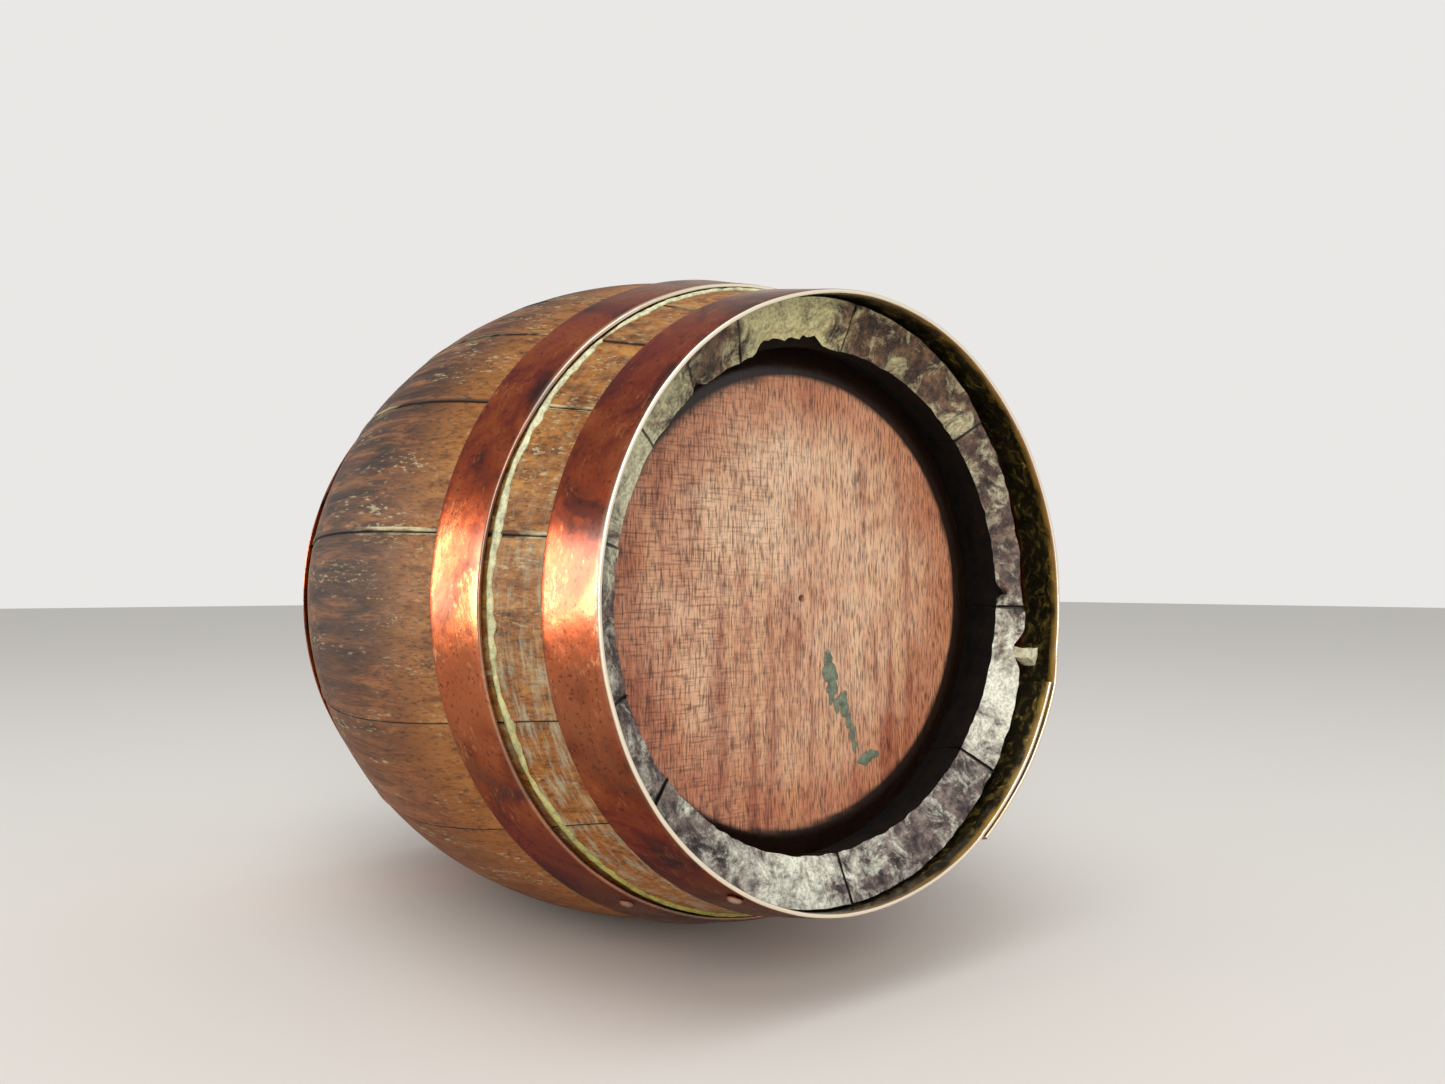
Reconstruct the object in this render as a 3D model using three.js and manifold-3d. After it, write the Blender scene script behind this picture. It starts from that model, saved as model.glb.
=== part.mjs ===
// A small coopered keg lying on its bilge: eleven bent staves, two heads held in the croze grooves,
// four lapped and riveted copper hoops, and a tapered bung that pulls out of the bung stave.
// Millimetres. The keg's axis is Y, its front head faces -Y, +Z is up, and the floor is at Z = 0.
// Angles go round the axis in degrees, seen from the front: 0 is the right side (+X) and 90 is the top.
import * as THREE from "three";
import { mergeVertices } from "three/addons/utils/BufferGeometryUtils.js";
import Module from "manifold-3d";

const wasm = await Module();
wasm.setup();

// ---- Driving dimensions ----
const CLEAR = 0.3; // gap left between two pieces that touch
const SIDES = 48; // facets round the keg
const HALF_LENGTH = 130.8; // half the length over the chime hoops
const BILGE_RADIUS = 117.3; // staves' outer radius at mid length
const END_RADIUS = 88.2; // staves' outer radius, if they ran on to the chime hoop's free edge
const FLARE = 1.6; // how much of the bend is near mid length: 1 bends evenly, more straightens the ends
const BILGE_BANDS = 7; // facets along the length between the quarter hoops: odd, so the middle one is level
const STAVE_THICKNESS = 15.8;
const STAVE_JOINT_GAP = 0.3; // open seam between two staves
const HOOP_LIP = 9.5; // how far the chime hoop stands out past the staves' ends
const CHIME_BEVEL = 6.5; // how much deeper a stave's end is at its inner edge than at its outer edge
const JOINT_ANGLES = [43.5, 87, 117, 131, 147, 169.5, 199, 218.8, 271, 318.6, 357.5]; // seams, in order

const HEAD_RECESS = 30.5; // from the chime hoop's free edge to the head's outer face
const HEAD_THICKNESS = 13;
const HEAD_EDGE = 5; // thickness of the head's rim, where it sits in the croze
const HEAD_BEVEL_LENGTH = 6.5; // from the rim's root in to the flat face
const CROZE_DEPTH = 4.5;

const HOOP_THICKNESS = 1.5;
const CHIME_HOOP_WIDTH = 21.5; // along the keg's axis
const QUARTER_HOOP_START = 43.5; // from the chime hoop's free edge
const QUARTER_HOOP_WIDTH = 20.9;
const LAP_START = 303.75; // the hoop's outer end
const LAP_SPAN = 37.5; // how far the hoop runs over itself
const LAP_RAMP = 7.5; // where the outer layer steps down on to the staves

const RIVET_ANGLES = [315, 330]; // in the lap
const RIVET_SHANK_RADIUS = 1.7;
const RIVET_HEAD_RADIUS = 3.6;
const RIVET_HEAD_HEIGHT = 1.3;
const RIVET_SIDES = 12;
const TACK_ANGLE = 240; // a nail through each quarter hoop, and a rivet through each chime hoop's lip
const TACK_INSET = 7; // from the quarter hoop's outer edge to its nail
const LIP_RIVET_INSET = 5.3; // from the chime hoop's free edge to its lip rivet
const TACK_SHANK_RADIUS = 1.2;
const TACK_HEAD_RADIUS = 2.5;
const TACK_TAIL_RADIUS = 2;
const TACK_HEAD_HEIGHT = 1;
const NAIL_LENGTH = 10; // how deep a nail goes into the stave

const BUNG_ANGLE = 67.5;
const BUNG_RADIUS = 12.5; // at the stave's outer surface
const BUNG_TAPER = 0.08; // radius lost for each millimetre inwards
const BUNG_LENGTH = 24;
const BUNG_PROUD = 2;
const BUNG_CHAMFER = 1.5;
const BUNG_SIDES = 24;
const BUNG_DRILL_OVERRUN = 10; // how far the hole's cutter runs past the stave on each side

// ---- The staves' profile: straight under each hoop, and bent in short bands between them ----
const facet = 360 / SIDES;
const flatShare = Math.cos(THREE.MathUtils.degToRad(facet / 2)); // a facet's middle, as a share of its corners' radius
const axisHeight = BILGE_RADIUS * flatShare;
const bilgeHalf = HALF_LENGTH - QUARTER_HOOP_START - QUARTER_HOOP_WIDTH;

const stations = [HALF_LENGTH, HALF_LENGTH - CHIME_HOOP_WIDTH, HALF_LENGTH - QUARTER_HOOP_START];
for (let band = BILGE_BANDS; band > 0; band -= 2) stations.push((bilgeHalf * band) / BILGE_BANDS);

function bentRadius(y) {
  const share = (y / HALF_LENGTH) ** 2;
  return BILGE_RADIUS - (BILGE_RADIUS - END_RADIUS) * (FLARE * share - (FLARE - 1) * share ** 2);
}
const stationRadii = stations.map(bentRadius);
stationRadii[stationRadii.length - 1] = BILGE_RADIUS;

// How much the radius grows for each millimetre towards mid length, and the radius itself.
function profileAt(y) {
  const along = Math.abs(y);
  const inner = stations.findIndex((station) => station < along - 1e-9);
  if (inner < 0) return { slope: 0, radius: BILGE_RADIUS };
  const outer = Math.max(inner - 1, 0);
  const [near, far] = outer === inner ? [inner, inner + 1] : [outer, inner];
  const slope = (stationRadii[far] - stationRadii[near]) / (stations[near] - stations[far]);
  return { slope, radius: stationRadii[near] + slope * (stations[near] - along) };
}

function staveRadius(y) {
  return profileAt(y).radius;
}

function innerRadius(y) {
  return staveRadius(y) - STAVE_THICKNESS;
}

// ---- Solids ----
function toSolid(geometry) {
  const plain = geometry.clone();
  plain.deleteAttribute("normal");
  plain.deleteAttribute("uv");
  const merged = mergeVertices(plain, 1e-4);
  return new wasm.Manifold(
    new wasm.Mesh({
      numProp: 3,
      vertProperties: merged.attributes.position.array,
      triVerts: new Uint32Array(merged.index.array),
    }),
  );
}

function toGeometry(solid) {
  const mesh = solid.getMesh();
  const geometry = new THREE.BufferGeometry();
  geometry.setAttribute("position", new THREE.BufferAttribute(new Float32Array(mesh.vertProperties), 3));
  geometry.setIndex(new THREE.BufferAttribute(new Uint32Array(mesh.triVerts), 1));
  geometry.computeVertexNormals();
  return geometry;
}

// A profile of [radius, y] points turned about Y. A profile that starts off the axis is closed on itself.
function turned(profile, sides) {
  const points = profile.map(([radius, y]) => new THREE.Vector2(radius, y));
  if (profile[0][0] > 0) points.push(points[0].clone());
  return new THREE.LatheGeometry(points, sides, Math.PI / sides);
}

function cylinder(radius, length, sides) {
  return new THREE.CylinderGeometry(radius, radius, length, sides);
}

// The prism between two seams, with half the seam's gap taken off each side.
function seamWedge(from, to) {
  const start = THREE.MathUtils.degToRad(from);
  const half = THREE.MathUtils.degToRad(to - from) / 2;
  const apex = STAVE_JOINT_GAP / 2 / Math.sin(half);
  const reach = (2 * BILGE_RADIUS) / Math.cos(half);
  const middle = start + half;
  const shape = new THREE.Shape();
  const corner = (angle, distance) => [
    apex * Math.cos(middle) + distance * Math.cos(angle),
    apex * Math.sin(middle) + distance * Math.sin(angle),
  ];
  shape.moveTo(...corner(middle, 0));
  shape.lineTo(...corner(middle - half, reach));
  shape.lineTo(...corner(middle + half, reach));
  const prism = new THREE.ExtrudeGeometry(shape, { depth: 4 * HALF_LENGTH, bevelEnabled: false });
  return prism.rotateX(Math.PI / 2).translate(0, 2 * HALF_LENGTH, 0);
}

// The place and outward direction on the staves' outer surface, at an angle and a Y.
function onStaves(angle, y) {
  const turn = THREE.MathUtils.degToRad(angle);
  const { slope, radius } = profileAt(y);
  const tilt = Math.atan(slope * flatShare) * Math.sign(y);
  const radial = radius * flatShare;
  return {
    point: new THREE.Vector3(radial * Math.cos(turn), y, radial * Math.sin(turn)),
    normal: new THREE.Vector3(
      Math.cos(turn) * Math.cos(tilt),
      Math.sin(tilt),
      Math.sin(turn) * Math.cos(tilt),
    ),
  };
}

// Turns a geometry made along +Y so that Y becomes the outward direction, and moves it out by lift.
function standOn(geometry, { point, normal }, lift) {
  const turn = new THREE.Quaternion().setFromUnitVectors(new THREE.Vector3(0, 1, 0), normal);
  const place = point.clone().addScaledVector(normal, lift);
  return geometry.clone().applyQuaternion(turn).translate(...place.toArray());
}

// ---- Where the hoops and their fasteners go ----
const hoops = [
  { name: "front_chime_hoop", end: -1, start: 0, width: CHIME_HOOP_WIDTH },
  { name: "front_quarter_hoop", end: -1, start: QUARTER_HOOP_START, width: QUARTER_HOOP_WIDTH },
  { name: "rear_quarter_hoop", end: 1, start: QUARTER_HOOP_START, width: QUARTER_HOOP_WIDTH },
  { name: "rear_chime_hoop", end: 1, start: 0, width: CHIME_HOOP_WIDTH },
];

// The lap's rivets are in the middle of the hoop's stretch that lies on the staves.
function rivetY({ end, start, width }) {
  const onWood = Math.max(start, HOOP_LIP);
  return end * (HALF_LENGTH - (onWood + start + width) / 2);
}

function tackY({ end, start }) {
  return end * (HALF_LENGTH - (start > 0 ? start + TACK_INSET : LIP_RIVET_INSET));
}

const hoopBore = CLEAR; // the hoop's inner face, out from the staves
const singleLayer = hoopBore + HOOP_THICKNESS;
const doubleLayer = singleLayer + CLEAR + HOOP_THICKNESS;

// ---- Staves ----
function staveShell() {
  const end = HALF_LENGTH - HOOP_LIP;
  const inwards = stations.filter((y) => y < end);
  const outer = [-end, ...inwards.map((y) => -y), ...inwards.toReversed(), end].map((y) => [staveRadius(y), y]);
  const headFace = HALF_LENGTH - HEAD_RECESS;
  const grooveFront = headFace - (HEAD_THICKNESS - HEAD_EDGE) / 2 + CLEAR;
  const grooveBack = grooveFront - HEAD_EDGE - 2 * CLEAR;
  const grooveRadius = innerRadius(grooveFront) + CROZE_DEPTH;
  const inner = [[innerRadius(end - CHIME_BEVEL), end - CHIME_BEVEL]];
  for (const y of stations.filter((station) => station < end - CHIME_BEVEL && station > grooveFront)) {
    inner.push([innerRadius(y), y]);
  }
  inner.push([innerRadius(grooveFront), grooveFront], [grooveRadius, grooveFront]);
  inner.push([grooveRadius, grooveBack], [innerRadius(grooveBack), grooveBack]);
  for (const y of stations.filter((station) => station < grooveBack)) inner.push([innerRadius(y), y]);
  const mirrored = inner.map(([radius, y]) => [radius, -y]).reverse();
  return turned([...outer, ...inner, ...mirrored], SIDES);
}

function bungHole(seat) {
  const length = STAVE_THICKNESS + 2 * BUNG_DRILL_OVERRUN;
  const top = BUNG_RADIUS + CLEAR / 2 + BUNG_TAPER * BUNG_DRILL_OVERRUN;
  const hole = new THREE.CylinderGeometry(top, top - BUNG_TAPER * length, length, BUNG_SIDES);
  return standOn(hole, seat, BUNG_DRILL_OVERRUN - length / 2);
}

const bungSeat = onStaves(BUNG_ANGLE, 0);

function staves() {
  const shell = toSolid(staveShell());
  const nailHoles = hoops
    .filter(({ start }) => start > 0)
    .map((spec) =>
      toSolid(
        standOn(
          cylinder(TACK_SHANK_RADIUS + CLEAR, 2 * (NAIL_LENGTH + CLEAR), RIVET_SIDES),
          onStaves(TACK_ANGLE, tackY(spec)),
          0,
        ),
      ),
    );
  return JOINT_ANGLES.map((from, index) => {
    const last = index === JOINT_ANGLES.length - 1;
    const to = last ? JOINT_ANGLES[0] + 360 : JOINT_ANGLES[index + 1];
    let stave = shell.intersect(toSolid(seamWedge(from, to)));
    const holdsBung = from < BUNG_ANGLE && BUNG_ANGLE < to;
    if (holdsBung) stave = stave.subtract(toSolid(bungHole(bungSeat)));
    if (from < TACK_ANGLE && TACK_ANGLE < to) {
      for (const hole of nailHoles) stave = stave.subtract(hole);
    }
    return new Piece(holdsBung ? "bung_stave" : `stave_${index + 1}`, toGeometry(stave), oak);
  });
}

// ---- Heads ----
function head(name, end) {
  const face = HALF_LENGTH - HEAD_RECESS;
  const inside = face - HEAD_THICKNESS;
  const rimFront = face - (HEAD_THICKNESS - HEAD_EDGE) / 2;
  const rimBack = rimFront - HEAD_EDGE;
  const wall = innerRadius(rimFront + CLEAR);
  const rim = wall + CROZE_DEPTH - CLEAR;
  const root = wall * flatShare - CLEAR;
  const profile = [
    [0, inside],
    [root - HEAD_BEVEL_LENGTH, inside],
    [root, rimBack],
    [rim, rimBack],
    [rim, rimFront],
    [root, rimFront],
    [root - HEAD_BEVEL_LENGTH, face],
    [0, face],
  ];
  const points = end > 0 ? profile : profile.map(([radius, y]) => [radius, -y]).reverse();
  return new Piece(name, turned(points, SIDES), headWood);
}

// ---- Hoops: one strip of copper that runs once round the keg and on over its own start ----
function hoopStrip({ end, start, width }) {
  const nearRadius = staveRadius(HALF_LENGTH - start);
  const farRadius = staveRadius(HALF_LENGTH - start - width);
  const tilt = Math.atan((farRadius - nearRadius) / width);
  const steps = Math.round((360 + LAP_SPAN) / facet);
  const strip = new THREE.BoxGeometry(steps * facet, width, HOOP_THICKNESS, steps);
  const corners = strip.attributes.position;
  for (let index = 0; index < corners.count; index++) {
    const along = corners.getX(index) + (steps * facet) / 2;
    const y = corners.getY(index) + end * (HALF_LENGTH - start - width / 2);
    const rise = THREE.MathUtils.clamp((LAP_SPAN + LAP_RAMP - along) / LAP_RAMP, 0, 1);
    const lift = hoopBore + rise * (doubleLayer - singleLayer) + HOOP_THICKNESS / 2 - corners.getZ(index);
    const radius = staveRadius(y) + lift / Math.cos(tilt);
    const turn = THREE.MathUtils.degToRad(LAP_START + along);
    corners.setXYZ(index, radius * Math.cos(turn), y, radius * Math.sin(turn));
  }
  return strip;
}

function hoop(spec) {
  let strip = toSolid(hoopStrip(spec));
  const drill = (shankRadius, angle, y) => {
    const bit = cylinder(shankRadius + CLEAR, 4 * doubleLayer, RIVET_SIDES);
    strip = strip.subtract(toSolid(standOn(bit, onStaves(angle, y), 0)));
  };
  for (const angle of RIVET_ANGLES) drill(RIVET_SHANK_RADIUS, angle, rivetY(spec));
  drill(TACK_SHANK_RADIUS, TACK_ANGLE, tackY(spec));
  return new Piece(spec.name, toGeometry(strip), copper);
}

// ---- Rivets and nails: a low dome on a shank, made along +Y from the shank's tip ----
function fastener(shankRadius, shankLength, headRadius, headHeight, tail = [[shankRadius, 0]]) {
  return turned(
    [
      [0, 0],
      ...tail,
      [shankRadius, tail.at(-1)[1]],
      [shankRadius, shankLength],
      [headRadius, shankLength],
      [headRadius * 0.86, shankLength + headHeight * 0.6],
      [headRadius * 0.45, shankLength + headHeight],
      [0, shankLength + headHeight],
    ],
    RIVET_SIDES,
  );
}

function lapRivets(spec) {
  const shank = doubleLayer + CLEAR - hoopBore;
  const rivet = fastener(RIVET_SHANK_RADIUS, shank, RIVET_HEAD_RADIUS, RIVET_HEAD_HEIGHT);
  return RIVET_ANGLES.map((angle, index) => {
    const name = spec.name.replace("hoop", `rivet_${index + 1}`);
    return new Piece(name, standOn(rivet, onStaves(angle, rivetY(spec)), hoopBore), rivetCopper);
  });
}

// A quarter hoop's nail goes into the stave; a chime hoop's lip rivet is clenched on the inside.
function tack(spec) {
  const seat = onStaves(TACK_ANGLE, tackY(spec));
  if (spec.start > 0) {
    const shank = NAIL_LENGTH + singleLayer + CLEAR;
    const nail = fastener(TACK_SHANK_RADIUS, shank, TACK_HEAD_RADIUS, TACK_HEAD_HEIGHT);
    return new Piece(spec.name.replace("hoop", "nail"), standOn(nail, seat, -NAIL_LENGTH), rivetCopper);
  }
  const tail = [
    [TACK_TAIL_RADIUS, 0],
    [TACK_TAIL_RADIUS, TACK_HEAD_HEIGHT],
  ];
  const shank = TACK_HEAD_HEIGHT + HOOP_THICKNESS + 2 * CLEAR;
  const rivet = fastener(TACK_SHANK_RADIUS, shank, TACK_HEAD_RADIUS, TACK_HEAD_HEIGHT, tail);
  const lift = hoopBore - CLEAR - TACK_HEAD_HEIGHT;
  return new Piece(spec.name.replace("hoop", "lip_rivet"), standOn(rivet, seat, lift), rivetCopper);
}

// ---- Bung ----
function bung() {
  const tip = BUNG_PROUD - BUNG_LENGTH;
  const radiusAt = (height) => BUNG_RADIUS - CLEAR / 2 + BUNG_TAPER * height;
  const profile = [
    [0, tip],
    [radiusAt(tip) - BUNG_CHAMFER, tip],
    [radiusAt(tip + BUNG_CHAMFER), tip + BUNG_CHAMFER],
    [radiusAt(BUNG_PROUD - BUNG_CHAMFER), BUNG_PROUD - BUNG_CHAMFER],
    [radiusAt(BUNG_PROUD) - BUNG_CHAMFER, BUNG_PROUD],
    [0, BUNG_PROUD],
  ];
  const plug = new THREE.LatheGeometry(
    profile.map(([radius, y]) => new THREE.Vector2(radius, y)),
    BUNG_SIDES,
  );
  return new Piece("bung", standOn(plug, bungSeat, 0), bungWood);
}

// ---- Materials ----
const oak = new THREE.MeshStandardMaterial({ color: 0x8a6238, roughness: 0.7, metalness: 0 });
const headWood = new THREE.MeshStandardMaterial({ color: 0x9a5c3f, roughness: 0.6, metalness: 0 });
const bungWood = new THREE.MeshStandardMaterial({ color: 0x9c7748, roughness: 0.75, metalness: 0 });
const copper = new THREE.MeshStandardMaterial({ color: 0xb4623c, roughness: 0.32, metalness: 1 });
const rivetCopper = new THREE.MeshStandardMaterial({ color: 0xc07a4e, roughness: 0.35, metalness: 1 });

// ---- Assembly ----
class Piece extends THREE.Mesh {
  constructor(name, geometry, material) {
    super(geometry, material);
    this.name = name;
  }
}

const keg = new THREE.Group();
keg.position.z = axisHeight;
keg.add(...staves(), head("front_head", -1), head("rear_head", 1));
for (const spec of hoops) keg.add(hoop(spec), ...lapRivets(spec), tack(spec));
keg.add(bung());

export default keg;
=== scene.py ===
"""A small coopered oak keg with copper hoops, lying on its bilge.

Laid out as an add-on: each operator makes one group of pieces, and main() calls them in order.
Angles go round the keg's axis, seen from the front: 0 is the right side (+X) and 90 degrees is the top.
"""
import math

import bmesh
import bpy
from mathutils import Matrix, Vector, noise


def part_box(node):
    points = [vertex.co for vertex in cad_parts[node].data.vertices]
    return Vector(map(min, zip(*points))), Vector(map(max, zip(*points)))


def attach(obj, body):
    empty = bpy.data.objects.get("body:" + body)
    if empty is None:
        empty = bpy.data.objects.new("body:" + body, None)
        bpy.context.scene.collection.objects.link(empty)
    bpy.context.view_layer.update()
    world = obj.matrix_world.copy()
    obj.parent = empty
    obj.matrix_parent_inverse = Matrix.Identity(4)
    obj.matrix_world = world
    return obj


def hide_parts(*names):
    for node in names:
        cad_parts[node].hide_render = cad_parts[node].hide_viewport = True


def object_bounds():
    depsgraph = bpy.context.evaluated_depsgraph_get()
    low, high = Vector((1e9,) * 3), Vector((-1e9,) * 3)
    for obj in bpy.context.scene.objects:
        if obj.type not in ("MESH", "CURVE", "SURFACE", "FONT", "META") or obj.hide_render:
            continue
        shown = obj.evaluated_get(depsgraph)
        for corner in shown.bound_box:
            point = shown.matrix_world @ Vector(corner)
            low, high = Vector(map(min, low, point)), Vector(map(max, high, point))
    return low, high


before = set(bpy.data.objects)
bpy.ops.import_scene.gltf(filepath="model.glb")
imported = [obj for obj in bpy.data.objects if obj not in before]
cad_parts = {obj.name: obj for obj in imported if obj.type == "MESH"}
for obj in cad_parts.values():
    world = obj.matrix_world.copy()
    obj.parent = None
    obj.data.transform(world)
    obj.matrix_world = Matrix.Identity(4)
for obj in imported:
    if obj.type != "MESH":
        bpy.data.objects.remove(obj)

bl_info = {
    "name": "Coopered Keg",
    "version": (1, 0, 0),
    "blender": (4, 5, 0),
    "location": "3D View > Sidebar > Keg",
    "description": "Makes a small oak keg with copper hoops, recessed heads and a bung",
    "category": "Add Mesh",
}

MM = 0.001
BODY = "keg"
CAD_LOW, CAD_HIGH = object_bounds()
AXIS_HEIGHT = (CAD_HIGH.z + CAD_LOW.z) / 2
HALF_LENGTH = (CAD_HIGH.y - CAD_LOW.y) / 2
HEAD_FACE_Y = -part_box("front_head")[0].y
SEAMS = (43.5, 87, 117, 131, 147, 169.5, 199, 218.8, 271, 318.6, 357.5)  # degrees, as in the CAD
# the staves' limed ends: centre and half width in degrees, and how much
LIME_PATCHES = ((104, 24, 1.0), (153, 30, 0.9), (337, 24, 1.0), (258, 26, 0.7))
LAP_RIVETS = (315, 330)  # degrees
JOIN = 1e-7  # points closer than this, in metres, are one point
SHARP = math.radians(38)  # edges that turn more than this are drawn sharp
BUNG_TAPER = 0.08  # radius over length, of the bung and of its hole
CAMERA_PLACE = Vector((-0.2143, -HALF_LENGTH - 0.2201, AXIS_HEIGHT + 0.0044))
CAMERA_AIM = Vector((0.58986, 0.80648, 0.04064))
CAMERA_LENS = 25.98  # millimetres, on a sensor 36 mm wide


# ---- Sizes and colours ----


def length(name, description, default):
    return bpy.props.FloatProperty(
        name=name, description=description, default=default, min=0, precision=5,
        subtype="DISTANCE", unit="LENGTH",
    )


def angle(name, description, degrees):
    return bpy.props.FloatProperty(
        name=name, description=description, default=math.radians(degrees), subtype="ANGLE", unit="ROTATION"
    )


def linear(code):
    """An sRGB hex colour as linear red, green, blue and alpha."""
    channels = [int(code[i : i + 2], 16) / 255 for i in (1, 3, 5)]
    return [c / 12.92 if c <= 0.04045 else ((c + 0.055) / 1.055) ** 2.4 for c in channels] + [1.0]


def colour(name, description, code):
    return bpy.props.FloatVectorProperty(
        name=name, description=description, default=linear(code), size=4, min=0, max=1, subtype="COLOR"
    )


class KegSizes(bpy.types.PropertyGroup):
    bilge_radius: length("Bilge radius", "Staves' outer radius at mid length", AXIS_HEIGHT - 0.25 * MM)
    end_radius: length("End radius", "Staves' outer radius, run on to the hoop's free edge", 88.2 * MM)
    flare: bpy.props.FloatProperty(
        name="Flare", description="How much of the bend is near mid length", default=1.6, min=1, max=1.8
    )
    stave_thickness: length("Stave thickness", "Thickness of every stave", 15.8 * MM)
    hoop_lip: length("Hoop lip", "How far a chime hoop stands out past the staves", 9.5 * MM)
    chime_bevel: length("Chime bevel", "How much deeper a stave's end is at its inner edge", 6.5 * MM)
    end_wear: length("End wear", "How much is rotted off the staves' ends at the right", 9 * MM)
    seam_gap: length("Seam gap", "Open seam between two staves", 0.3 * MM)
    seam_round: length("Seam rounding", "Rounding of the staves' long edges", 0.35 * MM)
    hoop_thickness: length("Hoop thickness", "Thickness of the copper strip", 1.5 * MM)
    hoop_clearance: length("Hoop clearance", "From the staves out to the copper", 0.3 * MM)
    chime_hoop_width: length("Chime hoop width", "Along the keg's axis", 21.5 * MM)
    quarter_hoop_start: length("Quarter hoop start", "From the keg's end to the quarter hoop", 43.5 * MM)
    quarter_hoop_width: length("Quarter hoop width", "Along the keg's axis", 20.9 * MM)
    lap_start: angle("Lap start", "Where the hoop's outer end is", 303.75)
    lap_span: angle("Lap span", "How far the hoop runs over itself", 37.5)
    lap_ramp: angle("Lap ramp", "Where the outer layer steps down", 7.5)
    rivet_radius: length("Rivet radius", "Radius of a lap rivet's head", 3.6 * MM)
    tack_radius: length("Tack radius", "Radius of a nail's or lip rivet's head", 2.5 * MM)
    tack_angle: angle("Tack angle", "Place of the nail and the lip rivet", 240)
    bung_angle: angle("Bung angle", "Place of the bung", 67.5)
    bung_radius: length("Bung radius", "The bung's radius at the staves' surface", 12.5 * MM)
    bung_length: length("Bung length", "Length of the bung", 24 * MM)
    bung_proud: length("Bung proud", "How far the bung stands out of the stave", 2 * MM)


class KegFinish(bpy.types.PropertyGroup):
    copper_dark: colour("Dark copper", "Brown oxide in the hollows", "#3a150c")
    copper_mid: colour("Copper", "Most of the hoops", "#7c3317")
    copper_light: colour("Light copper", "Rubbed copper", "#d9966c")
    # near white: worn edges, partly painted glints of light
    copper_bare_glint: colour("Bare copper", "Bright worn edges", "#fff3dc")
    tarnish: colour("Tarnish", "Inside of the lips", "#1d1a0f")
    oak_tan: colour("Tan oak", "Staves beside the hoops", "#8c561f")
    oak_dark: colour("Dark oak", "Staves at mid length", "#4f2b12")
    oak_grey: colour("Grey end grain", "Staves' ends", "#554746")
    lime: colour("Lime residue", "Whitish residue on the wood", "#b3a781")
    head_red: colour("Red oak", "The heads", "#c38f70")
    # head_pale also paints the sheen towards the head's top, a painted highlight
    head_pale: colour("Pale oak", "The heads' rubbed surface", "#e2c1a2")
    verdigris: colour("Verdigris", "Copper salts beside the copper", "#55501a")
    bung_oak: colour("Bung oak", "The bung", "#a57f4f")
    floor: colour("Floor", "The studio floor", "#e4e1dc")


# ---- Shapes ----


def smooth(value):
    value = min(max(value, 0), 1)
    return value * value * (3 - 2 * value)


def hump(here, centre, half_width):
    """1 at an angle in degrees, and 0 from half_width away on."""
    away = abs((here - centre + 180) % 360 - 180)
    return smooth(1 - away / half_width)


def wander(here, y, size, seed):
    """Smooth noise from -1 to 1 on the keg's surface, with features of about size metres."""
    reach = 0.1 / size
    return noise.noise(Vector((reach * math.cos(here), reach * math.sin(here) + 7 * seed, y / size)))


def bent_radius(sizes, y):
    share = (y / HALF_LENGTH) ** 2
    drop = sizes.bilge_radius - sizes.end_radius
    return sizes.bilge_radius - drop * (sizes.flare * share - (sizes.flare - 1) * share**2)


def strip_radius(sizes, start, width, y):
    """The staves' radius under a hoop, taken straight from one edge of the hoop to the other."""
    near, far = HALF_LENGTH - start, HALF_LENGTH - start - width
    share = (near - abs(y)) / width
    return bent_radius(sizes, near) * (1 - share) + bent_radius(sizes, far) * share


def unrolled(outline, span, steps):
    """A closed outline of (radius, y) points, run along an unrolled angle: X is the angle, Z the radius."""
    bm = bmesh.new()
    verts = [bm.verts.new((0, y, radius)) for radius, y in outline]
    face = bm.faces.new(verts)
    bmesh.ops.spin(
        bm, geom=[face, *face.edges, *verts], cent=(0, 0, 0), axis=(1, 0, 0),
        dvec=(span / steps, 0, 0), angle=0, steps=steps, use_merge=False,
    )
    return bm


def turned(points, steps):
    """A solid of revolution about Z, from (radius, z) points that start and end on the axis."""
    bm = bmesh.new()
    verts = [bm.verts.new((radius, 0, z)) for radius, z in points]
    edges = [bm.edges.new(pair) for pair in zip(verts, verts[1:])]
    bmesh.ops.spin(
        bm, geom=[*verts, *edges], cent=(0, 0, 0), axis=(0, 0, 1), angle=math.tau, steps=steps,
        use_merge=True,
    )
    bmesh.ops.remove_doubles(bm, verts=bm.verts, dist=JOIN)
    return bm


def rolled_up(bm, start):
    """Wraps an unrolled solid round the keg's axis."""
    for vert in bm.verts:
        here, y, radius = vert.co
        vert.co = (radius * math.cos(start + here), y, AXIS_HEIGHT + radius * math.sin(start + here))


def closed_ring(bm):
    """Joins a ring's two ends, and closes its poles."""
    flat = [f for f in bm.faces if len(f.verts) > 4]
    bmesh.ops.delete(bm, geom=flat, context="FACES_ONLY")
    bmesh.ops.remove_doubles(bm, verts=bm.verts, dist=0.02 * MM)
    bmesh.ops.dissolve_degenerate(bm, edges=bm.edges, dist=JOIN)


def rounded_strip(inner, outer, low, high, corner, segments):
    """The outline of a strip between two radius functions and two y's, with rounded corners."""
    along = [low + (high - low) * i / segments for i in range(segments + 1)]
    along[0] += corner
    along[-1] -= corner
    outline = [(inner(y), y) for y in along]

    def round_off(surface, inwards, edge, way, degrees):
        """Rounds one corner: way is +1 at the high edge, and inwards is the side that the strip lies on."""
        for turn in degrees:
            sine, cosine = math.sin(math.radians(turn)), math.cos(math.radians(turn))
            y = edge - way * corner + way * corner * sine
            outline.append((surface(y) + inwards * corner * (1 - cosine), y))

    rising, falling = (20, 45, 70), (70, 45, 20)
    round_off(inner, 1, high, 1, rising)
    round_off(outer, -1, high, 1, falling)
    outline += [(outer(y), y) for y in reversed(along)]
    round_off(outer, -1, low, -1, rising)
    round_off(inner, 1, low, -1, falling)
    return outline


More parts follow.
